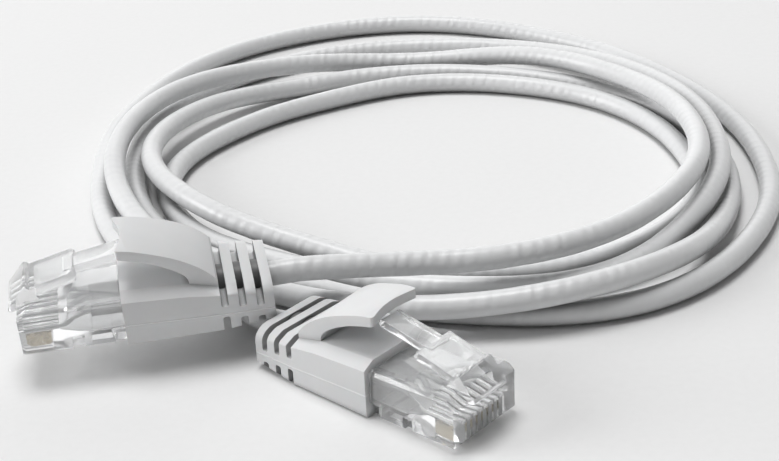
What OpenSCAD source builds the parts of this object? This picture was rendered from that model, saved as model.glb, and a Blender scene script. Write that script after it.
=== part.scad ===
// Folded network patch cable: a slim round cable laid in a coil of five turns, with an eight-way
// plug and a strain-relief boot at each end. Millimetres, +Z up, everything rests on z = 0.
// The origin is on the floor, under the middle of the whole bundle.

/* [Cable] */
// Outside diameter of the jacket; the coil grows with it
cable_d = 3.4; // [3.0:0.1:3.6]
// How far the jacket reaches into the plug, in front of the boot
jacket_reach = 4.2; // [3.6:0.1:4.4]

/* [Coil] */
// Size of the coil across, in percent of its tightest lay
coil_spread = 100; // [100:1:112]
// Height that the strands hold the upper plug's boot at, under its rear end
upper_lift = 5.2; // [5.2:0.05:6]

/* [Plug housing] */
// Width of the plug body
housing_w = 11.68; // [11.5:0.02:11.8]
// Height of the plug body at its nose
housing_h = 6.6; // [6.5:0.05:6.7]
// Length of the plug body in front of the boot
nose_len = 13.2; // [13.2:0.1:13.6]
// Height of the nose's underside above the boot's underside
housing_lift = 0.4; // [0.3:0.05:0.5]
// Chamfer on the body's edges
edge_cut = 0.4; // [0.2:0.05:0.5]
// Length of the part of the body that sits inside the boot
tenon_len = 8.3; // [7:0.1:8.5]
// Width of the part inside the boot
tenon_w = 10; // [9.6:0.1:10.2]
// Thickness of the tenon above and below the room for the jacket
tenon_wall = 0.65; // [0.5:0.05:0.7]
// Width of the room for the jacket
jacket_room_w = 7.6; // [7:0.1:7.8]

/* [Latch] */
// Width of the latch's root and of its wide part
latch_w = 6.2; // [6:0.1:6.4]
// Width of the latch's tail
latch_tail_w = 3.25; // [3:0.05:3.4]
// Thickness of the latch's arm
latch_t = 1.15; // [1:0.05:1.2]
// Height of the tail's end above the boot's underside
latch_rise = 10.7; // [10.4:0.05:10.75]

/* [Contacts and wires] */
// Thickness of a contact blade
blade_t = 0.34; // [0.3:0.02:0.4]
// Diameter of an insulated wire
wire_d = 0.65; // [0.6:0.01:0.68]
// Height of the row of wires above the boot's underside
wire_h = 3.3; // [3.2:0.05:3.4]

/* [Boot] */
// Length of the boot
boot_len = 19.3; // [19:0.1:20]
// Amount by which the boot is wider than the plug body on each side
boot_lip = 0.66; // [0.5:0.02:0.8]
// Height of the boot's flat top at its front
boot_h = 7.6; // [7.5:0.05:7.8]
// Height of the boot's flat top at its rear
boot_rear_h = 5.8; // [5.7:0.1:6]
// Amount by which the boot's rear end is narrower than its front
boot_taper = 0.6; // [0.4:0.1:1]
// Width of the sloping edge between the flat top and the sides
bevel_w = 1.7; // [1.4:0.1:1.8]
// Height of that sloping edge at the front
bevel_h = 0.9; // [0.8:0.1:1.1]
// Height of the cable's centre above the boot's underside
cable_h = 3.4; // [3.3:0.05:3.5]
// Width of a groove between two ribs
groove_w = 0.95; // [0.6:0.05:1]
// Distance from one groove to the next
groove_pitch = 2.3; // [2:0.05:2.3]
// Wall of the sleeve that the ribs stand on
sleeve_wall = 0.55; // [0.45:0.05:0.6]

/* [Latch guard] */
// Width of the guard where it springs from the boot
guard_w = 10.2; // [9.8:0.1:10.6]
// Width of the guard's free end
guard_front_w = 8.2; // [7.8:0.1:9]
// Height of the guard's free end
guard_h = 13.1; // [13:0.1:13.4]
// Thickness of the guard at its free end
guard_t = 1.3; // [1.1:0.05:1.35]
// Twist of the soft guard on the upper plug, in degrees
guard_twist_a = 0; // [-2:0.5:2]
// Twist of the soft guard on the lower plug, in degrees
guard_twist_b = 3.5; // [0:0.5:4]

/* [Hidden] */
$fn = 32;

// Colours
jacket_grey = [0.76, 0.77, 0.77];
boot_grey = [0.84, 0.85, 0.85];
clear_plastic = [0.92, 0.94, 0.95, 0.45];
contact_gold = [0.80, 0.68, 0.40];
wire_pale = [0.90, 0.90, 0.88];
wire_dark = [0.52, 0.53, 0.54];

// Named clearances
bore_gap = 0.05;
pocket_gap = 0.1;
jacket_gap = 0.1;
wire_gap = 0.05;
blade_gap = 0.02;
bite_gap = 0.02;
over = 0.5;

// The coil's lay, in thirty-degree stations from the front, counter-clockwise from above.
// Each row is one turn, from the end at plug A to the end at plug B. Reach is the distance of
// the strand from the middle of the coil, and rise is the gap under the strand.
turn_reach = [
    [46.5, 46.5, 45.5, 42.5, 41.5, 43,   44,   46,   49,   49.5, 49,   48.5],
    [53.5, 56,   51,   47,   43,   39.5, 39,   40.5, 43.5, 44,   40,   36.5],
    [39.5, 44,   45.5, 42,   39,   35.5, 33.5, 32,   35,   40.5, 42,   40.5],
    [43.5, 49,   48.5, 46.5, 47.5, 51,   53,   53,   51,   47,   46,   44.5],
    [50,   57.5, 56.5, 54,   54.5, 60,   67,   65.5, 58,   52.5, 52.5, 54]
];
turn_rise = [
    [5.5, 5.5, 6.5, 6, 4.5, 3, 0.5, 2.5, 4.5, 4.5, 2.5, 0.5],
    [2.5, 4,   0.5, 0, 0,   0, 0,   0,   2,   3.5, 3.5, 1.5],
    [0,   0,   0,   0, 0,   0, 0,   0,   0,   0,   0,   0],
    [0,   0.5, 3.5, 4, 3,   1, 0,   0,   0,   0.5, 0,   0],
    [0,   0,   0,   0, 0,   0, 0,   0,   0,   0,   0,   0.5]
];
first_angle = 270;
station_angle = 30;
laid_cable_d = 3.4;
coil_centre = [-0.05, 6.1];
coil_rings = 74;
tube_sides = 8;
lead = 5;
lead_drop = 0.7;

// Where the cable leaves each boot, as reach and angle from the middle of the coil, and how the
// plug lies, as roll, tip of its nose and heading
exit_lay_a = [54.8, 246];
lay_a = [-6.4, 1.4, 189.6];
exit_lay_b = [58.25, 250.2];
lay_b = [0, 0, 317.4];

thick = cable_d / laid_cable_d;
spread = thick * coil_spread / 100;
exit_a = exit_point(exit_lay_a, upper_lift * thick);
exit_b = exit_point(exit_lay_b, 0);

// Plug body
housing_mid = housing_lift + housing_h / 2;
housing_top = housing_lift + housing_h;
rear_low = 0.1;
rear_top = housing_top - 0.65;
jacket_room_h = cable_d + 2 * jacket_gap;
tenon_h = jacket_room_h + 2 * tenon_wall;
taper_start = jacket_reach + 0.2;
row_start = nose_len - 5.4;
row_end = nose_len - 0.5;
wire_end = nose_len - 0.6;
wire_pitch = 1.02;
ways = 8;
wire_bore_d = wire_d + 2 * wire_gap;
row_w = (ways - 1) * wire_pitch + wire_bore_d;
notch_in = 0.94;
notch_h = 1.6;
notch_front = 5.3;
notch_len = 1.5;
strain_w = 6.4;
strain_depth = 0.6;
strain_start = 1.9;
strain_len = 2.6;

nose_drop = 1.1;
nose_slope = 1.3;

// Wires leave the jacket as two rows of four
bundle_x = 0.7;
bundle_h = 0.72;
wire_sides = 8;
wire_rings = 8;
fan_start = jacket_reach + 0.3;

// Contact blades
blade_start = nose_len - 3.8;
blade_end = nose_len - 0.7;
blade_rear_cut = 0.3;
blade_front_cut = 0.5;
blade_low = housing_lift + 0.5;
blade_high = wire_h - 0.65;
tine_top = wire_h + 0.2;
tine_w = 0.6;
tine_1 = nose_len - 3;
tine_2 = nose_len - 1.5;
slot_start = blade_start - blade_gap;
slot_w = blade_t + 2 * blade_gap;

// Latch: the root is a sloping block on the nose, the arm rises from it towards the boot, and the
// narrow tail lies on the arm as a raised rib
root_toe_r = 0.35;
root_toe_x = nose_len + 0.65;
root_toe_h = housing_top - 1;
root_heel_r = 0.5;
root_heel_x = nose_len - 1.5;
root_heel_h = housing_top + 1.4;
root_back_x = nose_len - 2.7;
root_back_h = housing_top - 0.3;
arm_start_x = nose_len - 1.9;
arm_start_h = housing_top + 0.9;
arm_end_x = 5.7;
arm_end_h = latch_rise - 1.4;
tail_start_x = 6.3;
tail_start_h = latch_rise - 1.35;
tail_end_x = -1.1;
tail_t = 0.92 * latch_t;

// Boot
boot_w = housing_w + 2 * boot_lip;
pocket_len = tenon_len + pocket_gap;
back_x = -8.3;
back_h = boot_h - 0.5;
bend_x = -12.4;
bend_h = 6.3;
bend_bevel_h = 0.7;
rear_bevel_w = bevel_w + 0.5;
rear_bevel_h = bevel_h + 1;
flat_edge = 2;
round_edge = 1;
edge_steps = 5;
bore_d = cable_d + 2 * bore_gap;
sleeve_d = bore_d + 2 * sleeve_wall;
groove_count = 3;
groove_first = 12.9;
groove_round = 0.3;
band_low = 2.2;
band_high = 3.8;
band_drop = 0.37;
foot_cut = 0.3;
rear_foot_cut = 1;
slice_t = 0.01;

// Guard: its upper line, as distance behind the free end and drop below it, its inner line, drawn
// in the same way from the underside of the free end, and the hollow in its front edge
guard_upper = [
    [0, 0], [-2, 0.3], [-4.1, 0.9], [-6.8, 1.85], [-8.7, 2.8], [-10.4, 3.9], [-11.7, 5.1], [-12.7, 6.3]
];
guard_inner = [
    [0, 0], [-3, 0.75], [-4.8, 1.4], [-6.8, 2.4], [-8.2, 3.4], [-8.7, 4.2], [-8.8, 5.2]
];
guard_hollow = 1;
guard_steps = 16;
guard_corner = 0.4;
foot_sink = 1.3;

function polar(reach, angle) = coil_centre + reach * [cos(angle), sin(angle)];
function exit_point(lay, lift) =
    let (p = polar(lay[0] * spread, lay[1]))
    [p[0], p[1], lift + cable_h];
function unit(v) = v / norm(v);
function flatten(table) = [for (row = table) each row];

// Smooth curve through a list of numbers, at s counted in places along the list
function slope_at(list, i) =
    i == 0 ? list[1] - list[0]
    : i == len(list) - 1 ? list[i] - list[i - 1]
    : (list[i + 1] - list[i - 1]) / 2;
function through(list, s) =
    let (i = min(floor(s), len(list) - 2), t = s - i)
    (2 * pow(t, 3) - 3 * pow(t, 2) + 1) * list[i]
    + (pow(t, 3) - 2 * pow(t, 2) + t) * slope_at(list, i)
    + (3 * pow(t, 2) - 2 * pow(t, 3)) * list[i + 1]
    + (pow(t, 3) - pow(t, 2)) * slope_at(list, i + 1);

all_reach = flatten(turn_reach);
all_rise = flatten(turn_rise);
coil_step = (len(all_reach) - 1) / (coil_rings - 1);

function coil_point(s) =
    let (p = polar(through(all_reach, s) * spread, first_angle + station_angle * s))
    [p[0], p[1], cable_d / 2 + max(0, through(all_rise, s)) * thick];

// A point on the cable's line through a plug, at x in front of the boot's front face
function axis_point(exit, lay, x) =
    exit + (x + boot_len)
        * [cos(lay[1]) * cos(lay[2]), cos(lay[1]) * sin(lay[2]), -sin(lay[1])];

cable_points = concat(
    [
        axis_point(exit_a, lay_a, jacket_reach),
        axis_point(exit_a, lay_a, -boot_len),
        axis_point(exit_a, lay_a, -boot_len - lead)
    ],
    [for (k = [0 : coil_rings - 1]) coil_point(k * coil_step)],
    [
        axis_point(exit_b, lay_b, -boot_len - lead) - [0, 0, lead_drop * thick],
        axis_point(exit_b, lay_b, -boot_len),
        axis_point(exit_b, lay_b, jacket_reach)
    ]
);

// Tube along a list of points, as one closed skin
function heading_at(points, i) =
    unit(points[min(i + 1, len(points) - 1)] - points[max(i - 1, 0)]);
function ring_at(points, i, r, sides) =
    let (
        along = heading_at(points, i),
        across = unit(cross([0, 0, 1], along)),
        up = cross(along, across)
    )
    [for (k = [0 : sides - 1]) points[i] + r * (cos(360 * k / sides) * across
        + sin(360 * k / sides) * up)];
function skin_faces(rings, sides) = concat(
    [[for (k = [0 : sides - 1]) k]],
    [for (i = [0 : rings - 2], k = [0 : sides - 1])
        let (a = i * sides + k, b = i * sides + (k + 1) % sides)
        each [[a, b + sides, b], [a, a + sides, b + sides]]],
    [[for (k = [sides - 1 : -1 : 0]) (rings - 1) * sides + k]]
);

module skin(rings) {
    sides = len(rings[0]);
    polyhedron([for (ring = rings) each ring], skin_faces(len(rings), sides), convexity = 10);
}

module tube(points, d, sides) {
    skin([for (i = [0 : len(points) - 1]) ring_at(points, i, d / 2, sides)]);
}

module cable() {
    color(jacket_grey)
        tube(cable_points, cable_d, tube_sides);
}

// Extrudes a side outline, drawn as length and height, to a width across the plug
module side_plate(w) {
    rotate([90, 0, 0])
        linear_extrude(w, center = true)
            children();
}

// Extrudes a front outline, drawn as width and height, along the plug from one x to another
module front_bar(from, to) {
    translate([from, 0, 0])
        rotate([90, 0, 90])
            linear_extrude(to - from)
                children();
}

module cut_rectangle(low, high, cut) {
    w = high[0] - low[0];
    h = high[1] - low[1];
    translate(low)
        polygon([
            [cut, 0], [w - cut, 0], [w, cut], [w, h - cut],
            [w - cut, h], [cut, h], [0, h - cut], [0, cut]
        ]);
}

module housing_block() {
    half = housing_w / 2;
    intersection() {
        hull() {
            front_bar(0, slice_t)
                cut_rectangle([-half, rear_low], [half, rear_top], edge_cut);
            front_bar(nose_len - slice_t, nose_len)
                cut_rectangle([-half, housing_lift], [half, housing_top], edge_cut);
        }
        side_plate(housing_w)
            polygon([
                [0, 0], [nose_len - edge_cut, 0], [nose_len - edge_cut, housing_lift],
                [nose_len, housing_lift + edge_cut], [nose_len, housing_top - nose_drop],
                [nose_len - nose_slope, housing_top], [0, housing_top]
            ]);
    }
}

module housing_tenon() {
    front_bar(-tenon_len, over)
        cut_rectangle([-tenon_w / 2, cable_h - tenon_h / 2], [tenon_w / 2, cable_h + tenon_h / 2],
            edge_cut);
}

module latch() {
    side_plate(latch_w) {
        hull() {
            translate([root_toe_x, root_toe_h]) circle(root_toe_r);
            translate([root_heel_x, root_heel_h]) circle(root_heel_r);
            translate([root_back_x, root_back_h]) circle(root_heel_r);
        }
        hull() {
            translate([arm_start_x, arm_start_h]) circle(latch_t / 2);
            translate([arm_end_x, arm_end_h]) circle(latch_t / 2);
        }
    }
    side_plate(latch_tail_w)
        hull() {
            translate([tail_start_x, tail_start_h]) circle(tail_t / 2);
            translate([tail_end_x, latch_rise]) circle(tail_t / 2);
        }
}

module jacket_room() {
    low = cable_h - jacket_room_h / 2;
    high = cable_h + jacket_room_h / 2;
    front_bar(-tenon_len - over, taper_start)
        cut_rectangle([-jacket_room_w / 2, low], [jacket_room_w / 2, high], edge_cut);
    hull() {
        front_bar(taper_start - edge_cut, taper_start)
            cut_rectangle([-jacket_room_w / 2, low], [jacket_room_w / 2, high], edge_cut);
        translate([row_start, -row_w / 2, wire_h - wire_bore_d / 2])
            cube([edge_cut, row_w, wire_bore_d]);
    }
}

function row_y(i) = (i - (ways + 1) / 2) * wire_pitch;

module wire_bores() {
    for (i = [1 : ways])
        translate([row_start, row_y(i), wire_h])
            rotate([0, 90, 0])
                cylinder(h = row_end - row_start, d = wire_bore_d);
}

module contact_slots() {
    for (i = [1 : ways])
        translate([slot_start, row_y(i) - slot_w / 2, 0])
            cube([nose_len, slot_w, wire_h]);
}

module side_notches() {
    for (x = [-over, notch_front], side = [-1, 1])
        translate([x, side > 0 ? housing_w / 2 - notch_in : -housing_w / 2 - over, 0])
            cube([x < 0 ? notch_len + over : notch_len, notch_in + over, housing_lift + notch_h]);
}

module strain_recess() {
    translate([strain_start, -strain_w / 2, 0])
        cube([strain_len, strain_w, housing_lift + strain_depth]);
}

module housing() {
    color(clear_plastic)
        difference() {
            union() {
                housing_block();
                housing_tenon();
                latch();
            }
            jacket_room();
            wire_bores();
            contact_slots();
            side_notches();
            strain_recess();
        }
}

// The sloping edge of one side, from the side's top to the edge of the flat top; a bend of 2 is a
// flat slope and a bend of 1 is a quarter round
function shoulder(half, top, w, h, bend) = [
    for (k = [0 : edge_steps])
        let (a = 90 * k / edge_steps)
        [half - w * (1 - pow(cos(a), bend)), top - h * (1 - pow(sin(a), bend))]
];
function mirrored(points) = [for (i = [len(points) - 1 : -1 : 0]) [-points[i][0], points[i][1]]];

// A thin slice of the boot's outer shape at one place along it
module boot_slice(x, w, top, edge_w, edge_h, bend, foot) {
    side = concat([[w / 2 - foot, 0], [w / 2, foot]],
        shoulder(w / 2, top, edge_w, edge_h, bend));
    front_bar(x, x + slice_t)
        polygon(concat(side, mirrored(side)));
}

module boot_body() {
    hull() {
        boot_slice(-boot_len, boot_w - boot_taper, boot_rear_h, rear_bevel_w, rear_bevel_h,
            round_edge, rear_foot_cut);
        boot_slice(bend_x, boot_w, bend_h, bevel_w, bend_bevel_h, flat_edge, foot_cut);
    }
    hull() {
        boot_slice(bend_x, boot_w, bend_h, bevel_w, bend_bevel_h, flat_edge, foot_cut);
        boot_slice(back_x, boot_w, back_h, bevel_w, bevel_h, flat_edge, foot_cut);
    }
    hull() {
        boot_slice(back_x, boot_w, back_h, bevel_w, bevel_h, flat_edge, foot_cut);
        boot_slice(-slice_t, boot_w, boot_h, bevel_w, bevel_h, flat_edge, foot_cut);
    }
}

// Outline of a slot across the boot with its closed end at h = 0, up to a height or down to a depth
module slot_outline(reach) {
    side = sign(reach);
    r = groove_round;
    half = groove_w / 2;
    arc = [
        for (k = [0 : edge_steps])
            let (a = 90 * k / edge_steps)
            [half - r + r * sin(a), side * (r - r * cos(a))]
    ];
    right = concat(arc, [[half, reach]]);
    polygon(concat(right, mirrored(right)));
}

module boot_grooves() {
    for (k = [0 : groove_count - 1])
        difference() {
            side_plate(2 * boot_w)
                translate([-groove_first - k * groove_pitch, -k * band_drop]) {
                    translate([0, band_high]) slot_outline(boot_h);
                    translate([0, band_low]) slot_outline(-boot_h);
                }
            translate([-boot_len, 0, cable_h])
                rotate([0, 90, 0])
                    cylinder(h = boot_len, d = sleeve_d);
        }
}

// Points along a smooth curve through a list
function curve(list) = [
    for (k = [0 : guard_steps]) through(list, k * (len(list) - 1) / guard_steps)
];

module guard_side() {
    upper = [for (p = curve(guard_upper)) [p[0], guard_h - p[1]]];
    inner = [for (p = curve(guard_inner)) [p[0], guard_h - guard_t - p[1]]];
    last = inner[guard_steps];
    polygon(concat(upper, [[upper[guard_steps][0], last[1] - foot_sink],
        [last[0], last[1] - foot_sink]], [for (i = [guard_steps : -1 : 0]) inner[i]]));
}

module guard_plan() {
    front = [
        for (k = [-guard_steps / 2 : guard_steps / 2])
            let (t = 2 * k / guard_steps)
            [-guard_hollow * cos(90 * t), t * guard_front_w / 2]
    ];
    rear_x = guard_upper[len(guard_upper) - 1][0];
    offset(r = guard_corner)
        offset(delta = -guard_corner)
            polygon(concat(front, [[rear_x - over, guard_w / 2], [rear_x - over, -guard_w / 2]]));
}

// The twist turns the guard about the foot of its right side
module latch_guard(twist) {
    translate([0, -guard_w / 2, boot_h])
        rotate([twist, 0, 0])
            translate([0, guard_w / 2, -boot_h])
                intersection() {
                    side_plate(guard_w)
                        guard_side();
                    linear_extrude(guard_h + over)
                        guard_plan();
                }
}

module boot(twist) {
    color(boot_grey)
        difference() {
            union() {
                boot_body();
                latch_guard(twist);
            }
            front_bar(-pocket_len, over)
                cut_rectangle(
                    [-tenon_w / 2 - pocket_gap, cable_h - tenon_h / 2 - pocket_gap],
                    [tenon_w / 2 + pocket_gap, cable_h + tenon_h / 2 + pocket_gap],
                    edge_cut);
            translate([-boot_len - over, 0, cable_h])
                rotate([0, 90, 0])
                    cylinder(h = boot_len, d = bore_d);
            boot_grooves();
        }
}

module blade_outline() {
    polygon([
        [blade_start, blade_low + blade_rear_cut], [blade_start + blade_rear_cut, blade_low],
        [blade_end - blade_front_cut, blade_low], [blade_end, blade_low + blade_front_cut],
        [blade_end, blade_high],
        [tine_2 + tine_w / 2, blade_high], [tine_2, tine_top], [tine_2 - tine_w / 2, blade_high],
        [tine_1 + tine_w / 2, blade_high], [tine_1, tine_top], [tine_1 - tine_w / 2, blade_high],
        [blade_start, blade_high]
    ]);
}

module contact(i) {
    color(contact_gold)
        translate([0, row_y(i), 0])
            side_plate(blade_t)
                blade_outline();
}

function ease(t) = 3 * pow(t, 2) - 2 * pow(t, 3);
function wire_point(i, x) =
    let (
        t = max(0, min(1, (x - fan_start) / (row_start - fan_start))),
        column = floor((i - 1) / 2) - 1.5,
        row = i % 2 == 0 ? 1 : -1,
        y = (1 - ease(t)) * column * bundle_x + ease(t) * row_y(i),
        h = cable_h + ease(t) * (wire_h - cable_h) + (1 - pow(ease(t), 2)) * row * bundle_h / 2
    )
    [x, y, h];

module wire(i) {
    points = concat(
        [wire_point(i, jacket_reach)],
        [for (k = [0 : wire_rings - 1])
            wire_point(i, fan_start + k * (row_start - fan_start) / (wire_rings - 1))],
        [[wire_end, row_y(i), wire_h]]
    );
    color(i % 2 == 0 ? wire_dark : wire_pale)
        difference() {
            tube(points, wire_d, wire_sides);
            translate([0, row_y(i), 0])
                side_plate(blade_t + 2 * bite_gap)
                    offset(delta = bite_gap)
                        blade_outline();
        }
}

// Sets a plug down with the cable's line through its exit point
module at_plug(exit, lay) {
    translate(exit)
        rotate(lay)
            translate([boot_len, 0, -cable_h])
                children();
}

module at_plug_a() {
    at_plug(exit_a, lay_a)
        children();
}

module at_plug_b() {
    at_plug(exit_b, lay_b)
        children();
}

module plug_a_housing() { at_plug_a() housing(); }
module plug_a_boot() { at_plug_a() boot(guard_twist_a); }
module plug_a_contact_1() { at_plug_a() contact(1); }
module plug_a_contact_2() { at_plug_a() contact(2); }
module plug_a_contact_3() { at_plug_a() contact(3); }
module plug_a_contact_4() { at_plug_a() contact(4); }
module plug_a_contact_5() { at_plug_a() contact(5); }
module plug_a_contact_6() { at_plug_a() contact(6); }
module plug_a_contact_7() { at_plug_a() contact(7); }
module plug_a_contact_8() { at_plug_a() contact(8); }
module plug_a_wire_1() { at_plug_a() wire(1); }
module plug_a_wire_2() { at_plug_a() wire(2); }
module plug_a_wire_3() { at_plug_a() wire(3); }
module plug_a_wire_4() { at_plug_a() wire(4); }
module plug_a_wire_5() { at_plug_a() wire(5); }
module plug_a_wire_6() { at_plug_a() wire(6); }
module plug_a_wire_7() { at_plug_a() wire(7); }
module plug_a_wire_8() { at_plug_a() wire(8); }
module plug_b_housing() { at_plug_b() housing(); }
module plug_b_boot() { at_plug_b() boot(guard_twist_b); }
module plug_b_contact_1() { at_plug_b() contact(1); }
module plug_b_contact_2() { at_plug_b() contact(2); }
module plug_b_contact_3() { at_plug_b() contact(3); }
module plug_b_contact_4() { at_plug_b() contact(4); }
module plug_b_contact_5() { at_plug_b() contact(5); }
module plug_b_contact_6() { at_plug_b() contact(6); }
module plug_b_contact_7() { at_plug_b() contact(7); }
module plug_b_contact_8() { at_plug_b() contact(8); }
module plug_b_wire_1() { at_plug_b() wire(1); }
module plug_b_wire_2() { at_plug_b() wire(2); }
module plug_b_wire_3() { at_plug_b() wire(3); }
module plug_b_wire_4() { at_plug_b() wire(4); }
module plug_b_wire_5() { at_plug_b() wire(5); }
module plug_b_wire_6() { at_plug_b() wire(6); }
module plug_b_wire_7() { at_plug_b() wire(7); }
module plug_b_wire_8() { at_plug_b() wire(8); }

cable();
plug_a_housing();
plug_a_boot();
plug_a_contact_1();
plug_a_contact_2();
plug_a_contact_3();
plug_a_contact_4();
plug_a_contact_5();
plug_a_contact_6();
plug_a_contact_7();
plug_a_contact_8();
plug_a_wire_1();
plug_a_wire_2();
plug_a_wire_3();
plug_a_wire_4();
plug_a_wire_5();
plug_a_wire_6();
plug_a_wire_7();
plug_a_wire_8();
plug_b_housing();
plug_b_boot();
plug_b_contact_1();
plug_b_contact_2();
plug_b_contact_3();
plug_b_contact_4();
plug_b_contact_5();
plug_b_contact_6();
plug_b_contact_7();
plug_b_contact_8();
plug_b_wire_1();
plug_b_wire_2();
plug_b_wire_3();
plug_b_wire_4();
plug_b_wire_5();
plug_b_wire_6();
plug_b_wire_7();
plug_b_wire_8();
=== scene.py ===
import math

import bpy
from mathutils import Matrix, Vector


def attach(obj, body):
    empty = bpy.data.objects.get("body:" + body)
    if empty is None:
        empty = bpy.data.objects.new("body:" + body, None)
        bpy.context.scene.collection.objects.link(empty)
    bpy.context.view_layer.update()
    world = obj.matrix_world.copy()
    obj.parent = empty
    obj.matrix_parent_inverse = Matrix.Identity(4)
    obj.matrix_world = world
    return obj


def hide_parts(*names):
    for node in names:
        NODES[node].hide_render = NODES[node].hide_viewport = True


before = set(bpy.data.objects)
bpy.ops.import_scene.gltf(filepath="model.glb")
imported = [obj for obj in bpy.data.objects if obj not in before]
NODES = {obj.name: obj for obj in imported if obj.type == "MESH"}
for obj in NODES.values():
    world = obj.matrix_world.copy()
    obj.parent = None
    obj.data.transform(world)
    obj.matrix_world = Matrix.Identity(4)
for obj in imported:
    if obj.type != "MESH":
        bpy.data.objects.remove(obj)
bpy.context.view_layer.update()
MM = 0.001


def link(name, data):
    """A new object in the scene."""
    obj = bpy.data.objects.new(name, data)
    bpy.context.scene.collection.objects.link(obj)
    return obj


# Camera: its tilt and roll, its place in millimetres, and its focal length in the image's pixels
ELEVATION, ROLL = math.radians(26.728), math.radians(-2.885)
CAMERA_AT = (-6.05, -223.51, 104.54)
FOCAL_PIXELS, IMAGE_WIDTH, SENSOR_WIDTH = 1536.83, 779, 36
CLIP_NEAR, CLIP_FAR = 0.01, 20

level_right = Vector((1, 0, 0))
level_up = Vector((0, math.sin(ELEVATION), math.cos(ELEVATION)))
aim = Vector((0, math.cos(ELEVATION), -math.sin(ELEVATION)))
right = level_right * math.cos(ROLL) + level_up * math.sin(ROLL)
up = level_up * math.cos(ROLL) - level_right * math.sin(ROLL)
cam_data = bpy.data.cameras.new("camera")
cam_data.sensor_width = SENSOR_WIDTH
cam_data.lens = SENSOR_WIDTH * FOCAL_PIXELS / IMAGE_WIDTH
cam_data.clip_start, cam_data.clip_end = CLIP_NEAR, CLIP_FAR
camera = link("camera", cam_data)
camera.matrix_world = Matrix((
    (right.x, up.x, -aim.x, CAMERA_AT[0] * MM),
    (right.y, up.y, -aim.y, CAMERA_AT[1] * MM),
    (right.z, up.z, -aim.z, CAMERA_AT[2] * MM),
    (0, 0, 0, 1),
))
bpy.context.scene.camera = camera

# The cable's route, as in part.scad, in millimetres: five turns with twelve points each
CABLE_D = 3.4
TURN_REACH = [
    [46.5, 46.5, 45.5, 42.5, 41.5, 43, 44, 46, 49, 49.5, 49, 48.5],
    [53.5, 56, 51, 47, 43, 39.5, 39, 40.5, 43.5, 44, 40, 36.5],
    [39.5, 44, 45.5, 42, 39, 35.5, 33.5, 32, 35, 40.5, 42, 40.5],
    [43.5, 49, 48.5, 46.5, 47.5, 51, 53, 53, 51, 47, 46, 44.5],
    [50, 57.5, 56.5, 54, 54.5, 60, 67, 65.5, 58, 52.5, 52.5, 54],
]
TURN_RISE = [
    [5.5, 5.5, 6.5, 6, 4.5, 3, 0.5, 2.5, 4.5, 4.5, 2.5, 0.5],
    [2.5, 4, 0.5, 0, 0, 0, 0, 0, 2, 3.5, 3.5, 1.5],
    [0, 0, 0, 0, 0, 0, 0, 0, 0, 0, 0, 0],
    [0, 0.5, 3.5, 4, 3, 1, 0, 0, 0, 0.5, 0, 0],
    [0, 0, 0, 0, 0, 0, 0, 0, 0, 0, 0, 0.5],
]
REACH = [v for turn in TURN_REACH for v in turn]
RISE = [v for turn in TURN_RISE for v in turn]
COIL_CENTRE = (-0.05, 6.1)
FIRST_ANGLE, ANGLE_STEP = 270, 30
# The boot's length, the height of the cable's middle in it, and the jacket's end in front of it
BOOT_LEN, CABLE_H, JACKET_REACH = 19.3, 3.4, 4.2
# The straight lead behind each boot, and how far it has dropped at its end behind plug B
LEAD, LEAD_DROP = 5, 0.7
# Reach, angle and height of each exit, then the roll, tip and heading of its plug
EXIT_A, LAY_A = (54.8, 246, 5.2 + CABLE_H), (-6.4, 1.4, 189.6)
EXIT_B, LAY_B = (58.25, 250.2, CABLE_H), (0, 0, 317.4)
# How far apart the coil's points come, in steps of the tables, then the fine points of the smooth
# curve through them and the even points of the finished route
COIL_STEP, FINE_STEP, ROUTE_STEP = 0.25, 0.4, 1.25


def polar(reach, degrees):
    a = math.radians(degrees)
    return (COIL_CENTRE[0] + reach * math.cos(a), COIL_CENTRE[1] + reach * math.sin(a))


def hermite(t, start, leaving, end, arriving):
    """The cubic from start to end that has these slopes there, at t from 0 to 1."""
    return (start * (2 * t**3 - 3 * t**2 + 1) + leaving * (t**3 - 2 * t**2 + t)
            + end * (3 * t**2 - 2 * t**3) + arriving * (t**3 - t**2))


def slope_at(values, i):
    if i == 0:
        return values[1] - values[0]
    if i == len(values) - 1:
        return values[i] - values[i - 1]
    return (values[i + 1] - values[i - 1]) / 2


def through(values, s):
    """The smooth curve through a list of values, at s steps from its start."""
    i = min(int(s), len(values) - 2)
    return hermite(s - i, values[i], slope_at(values, i), values[i + 1], slope_at(values, i + 1))


def coil_point(s):
    x, y = polar(through(REACH, s), FIRST_ANGLE + ANGLE_STEP * s)
    return Vector((x, y, CABLE_D / 2 + max(0, through(RISE, s))))


def axis_point(leaves, lay, x):
    """A point on the cable's line through a plug, at x in front of the boot's front face."""
    tip, heading = math.radians(lay[1]), math.radians(lay[2])
    along = Vector((math.cos(tip) * math.cos(heading), math.cos(tip) * math.sin(heading),
                    -math.sin(tip)))
    return Vector((*polar(*leaves[:2]), leaves[2])) + along * (x + BOOT_LEN)


def fine_curve(points):
    """Close points along a smooth curve through the given points."""
    fine, last = [], len(points) - 1
    for i in range(last):
        p0, p1 = points[max(i - 1, 0)], points[i]
        p2, p3 = points[i + 1], points[min(i + 2, last)]
        gap = (p2 - p1).length
        leaving = (p2 - p0).normalized() * gap if i > 0 else p2 - p1
        arriving = (p3 - p1).normalized() * gap if i + 1 < last else p2 - p1
        count = max(2, int(gap / FINE_STEP))
        fine += [hermite(j / count, p1, leaving, p2, arriving) for j in range(count)]
    return fine + [points[last]]


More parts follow.
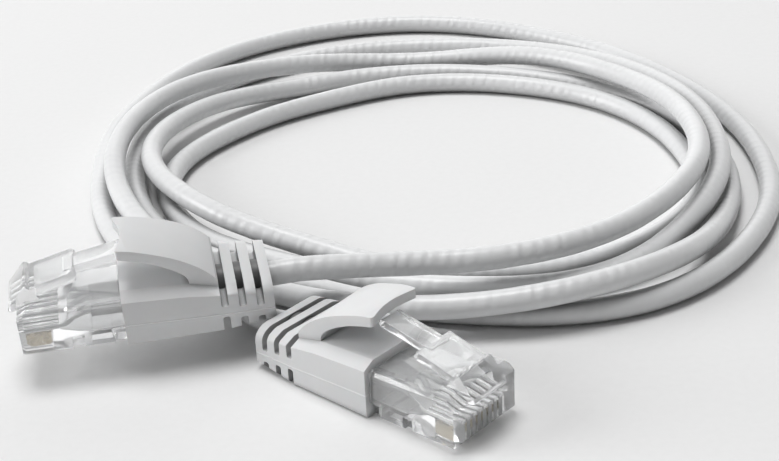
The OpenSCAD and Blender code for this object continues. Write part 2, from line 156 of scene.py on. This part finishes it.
def even_run(points):
    """Even points along a line of close points, and its length."""
    run = [0.0]
    for p, q in zip(points, points[1:]):
        run.append(run[-1] + (q - p).length)
    count = max(2, round(run[-1] / ROUTE_STEP))
    even, k = [], 0
    for j in range(count + 1):
        want = run[-1] * j / count
        while k < len(run) - 2 and run[k + 1] < want:
            k += 1
        part = (want - run[k]) / max(1e-9, run[k + 1] - run[k])
        even.append(points[k].lerp(points[k + 1], min(1, max(0, part))))
    return even, run[-1]


stations = (JACKET_REACH, -BOOT_LEN / 2, -BOOT_LEN, -BOOT_LEN - LEAD)
end_a = [axis_point(EXIT_A, LAY_A, x) for x in stations]
end_b = [axis_point(EXIT_B, LAY_B, x) for x in reversed(stations)]
end_b[0] -= Vector((0, 0, LEAD_DROP))
coil = [coil_point(k * COIL_STEP) for k in range(int((len(REACH) - 1) / COIL_STEP) + 1)]
ROUTE, ROUTE_LEN = even_run(fine_curve(end_a + coil + end_b))

# The jacket's sides. How far its faint forms stand proud, as parts of its radius, their lengths in
# millimetres and the waves' start. The length along it that its map calls one.
SIDES = 20
PAIR_HEIGHT, PAIR_TURN, PAIR_FADE = 0.012, 46, 11.3
WAVE_HEIGHT, WAVE_LONG, WAVE_SHORT, WAVE_START = 0.003, 31.0, 7.1, 1.3
MAP_LENGTH = 100


def jacket_radius(s, a):
    """The jacket's radius at s along the cable and a round it, with four twisted pairs in it."""
    pairs = math.cos(4 * (a - 2 * math.pi * s / PAIR_TURN))
    fade = 0.5 + 0.5 * math.sin(2 * math.pi * s / PAIR_FADE + a * 2)
    wave = (math.sin(2 * math.pi * s / WAVE_LONG + WAVE_START)
            * math.sin(2 * math.pi * s / WAVE_SHORT))
    return CABLE_D / 2 * (1 - PAIR_HEIGHT + PAIR_HEIGHT * (pairs * fade) + WAVE_HEIGHT * wave)


def build_cable():
    """The jacket: a round tube that shows, very faintly, the four twisted pairs inside it."""
    verts, faces, uvs = [], [], []
    n = len(ROUTE)
    step = ROUTE_LEN / (n - 1)
    for i, p in enumerate(ROUTE):
        along = (ROUTE[min(i + 1, n - 1)] - ROUTE[max(i - 1, 0)]).normalized()
        across = Vector((0, 0, 1)).cross(along).normalized()
        lift = along.cross(across)
        for k in range(SIDES):
            a = 2 * math.pi * k / SIDES
            r = jacket_radius(i * step, a)
            verts.append((p + across * (r * math.cos(a)) + lift * (r * math.sin(a))) * MM)
    for i in range(n - 1):
        u0, u1 = i * step / MAP_LENGTH, (i + 1) * step / MAP_LENGTH
        for k in range(SIDES):
            a, b = i * SIDES + k, i * SIDES + (k + 1) % SIDES
            v0, v1 = k / SIDES, (k + 1) / SIDES
            faces.append((a, b, b + SIDES, a + SIDES))
            uvs += [(u0, v0), (u0, v1), (u1, v1), (u1, v0)]
    faces += [tuple(reversed(range(SIDES))), tuple(range((n - 1) * SIDES, n * SIDES))]
    uvs += [(0, 0)] * (2 * SIDES)
    mesh = bpy.data.meshes.new("cable_jacket")
    mesh.from_pydata(verts, [], faces)
    layer = mesh.uv_layers.new(name="run")
    for i, uv in enumerate(uvs):
        layer.data[i].uv = uv
    for p in mesh.polygons:
        p.use_smooth = len(p.vertices) == 4
    mesh.validate()
    return link("cable_jacket", mesh)


cable = build_cable()
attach(cable, "root")
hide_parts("cable")


# Materials
JACKET = (0.72, 0.725, 0.73)
# The boots' edge colour is a painted highlight on their rounded edges
BOOT, BOOT_EDGE_HIGHLIGHT = (0.69, 0.695, 0.70), (0.95, 0.95, 0.95)
CLEAR = (0.985, 0.99, 0.995)
GOLD = (0.47, 0.39, 0.25)
PALE_WIRE, DARK_WIRE = (0.83, 0.83, 0.82), (0.36, 0.365, 0.37)
PAPER = (0.82, 0.82, 0.82)
STUDIO = (0.9, 0.9, 0.9)


def add(tree, kind, inputs=None, **settings):
    """A new node. Each of its inputs is linked to another node's output or set to a value."""
    n = tree.nodes.new(kind)
    for k, v in settings.items():
        setattr(n, k, v)
    for k, v in (inputs or {}).items():
        if isinstance(v, bpy.types.NodeSocket):
            tree.links.new(v, n.inputs[k])
        else:
            n.inputs[k].default_value = v
    return n


def calc(tree, operation, a, b=0):
    return add(tree, "ShaderNodeMath", {0: a, 1: b}, operation=operation).outputs[0]


def vector(tree, operation, a, b=(0, 0, 0), out="Vector"):
    return add(tree, "ShaderNodeVectorMath", {0: a, 1: b}, operation=operation).outputs[out]


def ranged(tree, value, to_min, to_max, from_min=0, from_max=1, kind="LINEAR"):
    """A value taken from one range to another, and held inside it."""
    ends = {"From Min": from_min, "From Max": from_max, "To Min": to_min, "To Max": to_max}
    n = add(tree, "ShaderNodeMapRange", {"Value": value, **ends}, interpolation_type=kind)
    return n.outputs["Result"]


def noise(tree, place, scale, detail, roughness):
    values = {"Vector": place, "Scale": scale, "Detail": detail, "Roughness": roughness}
    return add(tree, "ShaderNodeTexNoise", values).outputs["Fac"]


def object_place(tree):
    return add(tree, "ShaderNodeTexCoord").outputs["Object"]


def new_material(name, base, rough, **sockets):
    m = bpy.data.materials.new(name)
    m.use_nodes = True
    bsdf = m.node_tree.nodes["Principled BSDF"]
    bsdf.inputs["Base Color"].default_value = (*base, 1)
    bsdf.inputs["Roughness"].default_value = rough
    for k, v in sockets.items():
        bsdf.inputs[k.replace("_", " ")].default_value = v
    return m, m.node_tree, bsdf


def mottled(name, base, rough, amount, scale, rough_amount=0.0, **sockets):
    """A material with slight unevenness of colour and gloss, as in moulded or extruded vinyl."""
    m, tree, bsdf = new_material(name, base, rough, **sockets)
    place = object_place(tree)
    cloud = noise(tree, place, scale, detail=4, roughness=0.55)
    ramp = add(tree, "ShaderNodeValToRGB", {"Fac": cloud})
    stops = ramp.color_ramp.elements
    for stop, position, level in ((stops[0], 0.3, 1 - amount), (stops[1], 0.7, 1 + amount)):
        stop.position = position
        stop.color = (*[min(1, c * level) for c in base], 1)
    tree.links.new(ramp.outputs["Color"], bsdf.inputs["Base Color"])
    if rough_amount:
        gloss = ranged(tree, cloud, rough - rough_amount, rough + rough_amount)
        tree.links.new(gloss, bsdf.inputs["Roughness"])
    return m, tree, bsdf, place


def tint(tree, bsdf, factor, at_zero, at_one):
    """Multiplies the base colour by a grey that follows a factor."""
    base = bsdf.inputs["Base Color"].links[0].from_socket
    level = ranged(tree, factor, at_zero, at_one)
    times = add(tree, "ShaderNodeVectorMath", {0: base, "Scale": level}, operation="SCALE")
    tree.links.new(times.outputs["Vector"], bsdf.inputs["Base Color"])


def paint_crevice_shade(tree, bsdf, reach, darkest):
    """Painted shade: a darker base colour in the narrow places, such as between the ribs."""
    open_air = add(tree, "ShaderNodeAmbientOcclusion", {"Distance": reach * MM}, samples=6)
    tint(tree, bsdf, open_air.outputs["AO"], at_zero=darkest, at_one=1)


def bump(tree, bsdf, height, strength, distance, under=None):
    """Relief of up to a distance in millimetres, laid over the relief that is under it."""
    values = {"Height": height, "Strength": strength, "Distance": distance * MM}
    if under is not None:
        values["Normal"] = under
    relief = add(tree, "ShaderNodeBump", values).outputs["Normal"]
    tree.links.new(relief, bsdf.inputs["Normal"])
    return relief


def jacket_material():
    """Extruded vinyl. The twisted pairs press through it as short slanting swellings."""
    m, t, b, place = mottled("jacket_vinyl", JACKET, 0.42, amount=0.035, scale=90,
                             rough_amount=0.06, IOR=1.5, Coat_Weight=0.3, Coat_Roughness=0.2)
    grain = noise(t, place, 2600, detail=3, roughness=0.6)
    grained = bump(t, b, grain, strength=0.12, distance=0.08)
    run = add(t, "ShaderNodeUVMap", uv_map="run").outputs["UV"]
    slant = add(t, "ShaderNodeMapping", {"Vector": run, "Scale": (66, 2, 1)}).outputs["Vector"]
    wave = {"Vector": slant, "Scale": 0.5, "Distortion": 2.4, "Detail": 2, "Detail Scale": 1.5}
    swellings = add(t, "ShaderNodeTexWave", wave, wave_type="BANDS", bands_direction="DIAGONAL")
    # They come and go along the cable
    patches = noise(t, slant, 0.3, detail=1, roughness=0.5)
    strong = ranged(t, patches, 0.2, 1, from_min=0.3, from_max=0.6)
    uneven = calc(t, "MULTIPLY", swellings.outputs["Fac"], strong)
    bump(t, b, uneven, strength=0.65, distance=0.11, under=grained)
    # Painted shade where the cable lies close against itself, the boots and the floor
    paint_crevice_shade(t, b, reach=2.5, darkest=0.15)
    return m


# The seam's height at the boot's front face, its rise in a millimetre forwards and its half width
SEAM_FRONT, SEAM_SLOPE, SEAM_HALF = 3.2, 0.044, 0.16
# Where the grooves start in front of the boot's rear end, the length that they take up, and the
# distance from the cable's middle that holds the sleeve at the bottom of them
GROOVES_FROM, GROOVES_LEN, SLEEVE_R = 1, 6.1, 2.4
# The shade on the sleeve, and how much of it the grooves' walls have
SLEEVE_SHADE, WALL_SHARE = 0.2, 0.5


def plug_axes(lay):
    """The plug's forward and up directions."""
    roll, tip, heading = (math.radians(v) for v in lay)
    turn = (Matrix.Rotation(heading, 3, "Z") @ Matrix.Rotation(tip, 3, "Y")
            @ Matrix.Rotation(roll, 3, "X"))
    return turn @ Vector((1, 0, 0)), turn @ Vector((0, 0, 1))


def boot_material(name, leaves, lay, colour, rough):
    """Soft vinyl, with the mould's fine raised seam on its sides and deep shade in its grooves."""
    m, t, b, place = mottled(name, colour, rough, amount=0.02, scale=220, rough_amount=0.05,
                             IOR=1.48, Subsurface_Weight=0.05, Subsurface_Scale=0.001)
    grain = noise(t, place, 5200, detail=2, roughness=0.5)
    grained = bump(t, b, grain, strength=0.15, distance=0.05)
    ahead, above = plug_axes(lay)

    square = above - ahead * SEAM_SLOPE
    front = axis_point(leaves, lay, 0) + above * (SEAM_FRONT - CABLE_H)
    height = vector(t, "DOT_PRODUCT", place, square / MM, out="Value")
    away = calc(t, "ABSOLUTE", calc(t, "SUBTRACT", height, square.dot(front)))
    seam = ranged(t, away, 1, 0, from_max=SEAM_HALF, kind="SMOOTHSTEP")
    bump(t, b, seam, strength=0.8, distance=0.1, under=grained)
    # The seam is also painted lighter: a painted highlight along its ridge
    tint(t, b, seam, at_zero=1, at_one=1.3)
    # Painted shade in the narrow places, such as between the ribs
    paint_crevice_shade(t, b, reach=1, darkest=0.2)

    rear = axis_point(leaves, lay, GROOVES_FROM - BOOT_LEN) * MM
    offset = vector(t, "SUBTRACT", place, rear)
    across = vector(t, "CROSS_PRODUCT", offset, ahead / MM)
    sleeve = calc(t, "LESS_THAN", vector(t, "LENGTH", across, out="Value"), SLEEVE_R)
    normal = add(t, "ShaderNodeNewGeometry").outputs["True Normal"]
    facing = vector(t, "DOT_PRODUCT", normal, ahead, out="Value")
    wall = calc(t, "MULTIPLY", calc(t, "MULTIPLY", facing, facing), WALL_SHARE)
    shade = calc(t, "MAXIMUM", sleeve, wall)
    along = vector(t, "DOT_PRODUCT", offset, ahead / MM, out="Value")
    for comparison, limit in (("GREATER_THAN", 0), ("LESS_THAN", GROOVES_LEN)):
        shade = calc(t, "MULTIPLY", shade, calc(t, comparison, along, limit))
    tint(t, b, shade, at_zero=1, at_one=SLEEVE_SHADE)
    return m


def clear_material(name, clearness, rough):
    """Polycarbonate with faint marks of its flow in the mould."""
    m, t, b = new_material(name, CLEAR, rough, IOR=1.42, Transmission_Weight=clearness,
                           Coat_Weight=0.6, Coat_Roughness=0.05)
    flow = noise(t, object_place(t), 320, detail=1, roughness=0.4)
    bump(t, b, flow, strength=0.08, distance=0.3)
    return m


def smooth_group(angle):
    """Smooth shading across the small steps of a curve, with every sharper edge kept."""
    g = bpy.data.node_groups.new("smooth_by_angle", "GeometryNodeTree")
    for way in ("INPUT", "OUTPUT"):
        g.interface.new_socket("Geometry", in_out=way, socket_type="NodeSocketGeometry")
    start = add(g, "NodeGroupInput").outputs[0]
    bend = add(g, "GeometryNodeInputMeshEdgeAngle").outputs["Unsigned Angle"]
    sharp = add(g, "FunctionNodeCompare", {0: bend, 1: math.radians(angle)}, data_type="FLOAT",
                operation="GREATER_THAN")
    faces = add(g, "GeometryNodeSetShadeSmooth", {"Geometry": start}, domain="FACE")
    edges = add(g, "GeometryNodeSetShadeSmooth", {
        "Geometry": faces.outputs["Geometry"], "Selection": sharp.outputs["Result"],
        "Shade Smooth": False}, domain="EDGE")
    add(g, "NodeGroupOutput", {0: edges.outputs["Geometry"]})
    return g


SMOOTH = smooth_group(22)
WELD_WIDTH, EDGE_SEGMENTS, EDGE_SLOT = 1e-6, 3, 1


def paint(node, *materials):
    o = NODES[node]
    o.data.materials.clear()
    for m in materials:
        o.data.materials.append(m)
    return o


def soften(o, width, angle):
    """Rounds a moulded piece's edges by a small radius, in its edge material with painted
    highlight.
    """
    o.modifiers.new("weld", "WELD").merge_threshold = WELD_WIDTH
    bevel = o.modifiers.new("round", "BEVEL")
    bevel.width, bevel.segments, bevel.material = width * MM, EDGE_SEGMENTS, EDGE_SLOT
    bevel.limit_method, bevel.angle_limit = "ANGLE", math.radians(angle)
    o.modifiers.new("smooth", "NODES").node_group = SMOOTH


WAYS = 8
cable.data.materials.append(jacket_material())
# Rounded edges are painted white, a painted highlight where they would catch the light
clear = clear_material("clear_polycarbonate", clearness=0.82, rough=0.01)
clear_edge_highlight = clear_material("clear_polycarbonate_edge_highlight", clearness=0, rough=0.2)
gold = mottled("contact_gold", GOLD, 0.28, amount=0.04, scale=900, rough_amount=0.08,
               Metallic=1)[0]
wires = [mottled(name, colour, 0.4, amount=0.04, scale=700, rough_amount=0.06, IOR=1.48)[0]
         for name, colour in (("wire_pale", PALE_WIRE), ("wire_dark", DARK_WIRE))]
for side, leaves, lay in (("a", EXIT_A, LAY_A), ("b", EXIT_B, LAY_B)):
    vinyl = boot_material(f"boot_vinyl_{side}", leaves, lay, BOOT, 0.45)
    # The boot's rounded edges get the lighter colour, a painted highlight
    edge = boot_material(f"boot_vinyl_{side}_edge", leaves, lay, BOOT_EDGE_HIGHLIGHT, 0.32)
    soften(paint(f"plug_{side}_boot", vinyl, edge), width=0.22, angle=25)
    soften(paint(f"plug_{side}_housing", clear, clear_edge_highlight), width=0.24, angle=35)
    for i in range(1, WAYS + 1):
        paint(f"plug_{side}_contact_{i}", gold)
        paint(f"plug_{side}_wire_{i}", wires[(i + 1) % 2])

# Floor: a hair below the object's lowest points
FLOOR_HALF, FLOOR_DROP = 3, 0.03
floor_mesh = bpy.data.meshes.new("floor")
floor_mesh.from_pydata([(x * FLOOR_HALF, y * FLOOR_HALF, 0)
                        for x, y in ((-1, -1), (1, -1), (1, 1), (-1, 1))], [], [(0, 1, 2, 3)])
floor = link("floor", floor_mesh)
floor.location.z = -FLOOR_DROP * MM
floor_mesh.materials.append(mottled("floor_paper", PAPER, 0.75, amount=0.01, scale=900)[0])

# World: camera, mirror and glass rays see a white studio, and the light that it gives is dimmer
WORLD_LIGHT = 0.21
world = bpy.data.worlds.new("studio")
bpy.context.scene.world = world
world.use_nodes = True
wt = world.node_tree
background = wt.nodes["Background"]
background.inputs["Color"].default_value = (*STUDIO, 1)
ray = add(wt, "ShaderNodeLightPath")
seen = ray.outputs["Is Camera Ray"]
for kind in ("Is Glossy Ray", "Is Transmission Ray"):
    seen = calc(wt, "MAXIMUM", seen, ray.outputs[kind])
wt.links.new(ranged(wt, seen, WORLD_LIGHT, 1), background.inputs["Strength"])


def lamp(name, where, size, watts):
    """A round lamp that points at the middle of the coil."""
    data = bpy.data.lights.new(name, "AREA")
    data.shape, data.size, data.energy = "DISK", size, watts
    o = link(name, data)
    o.location = where
    o.rotation_mode = "QUATERNION"
    o.rotation_quaternion = (-Vector(where)).to_track_quat("-Z", "Y")


lamp("top", (-0.2, 0.2, 1.7), size=0.9, watts=17.8)
lamp("left", (-1.6, -0.05, 0.7), size=1.0, watts=15.5)
lamp("back", (0.1, 1.5, 0.8), size=1.6, watts=4.5)

bpy.context.scene.view_settings.view_transform = "Standard"
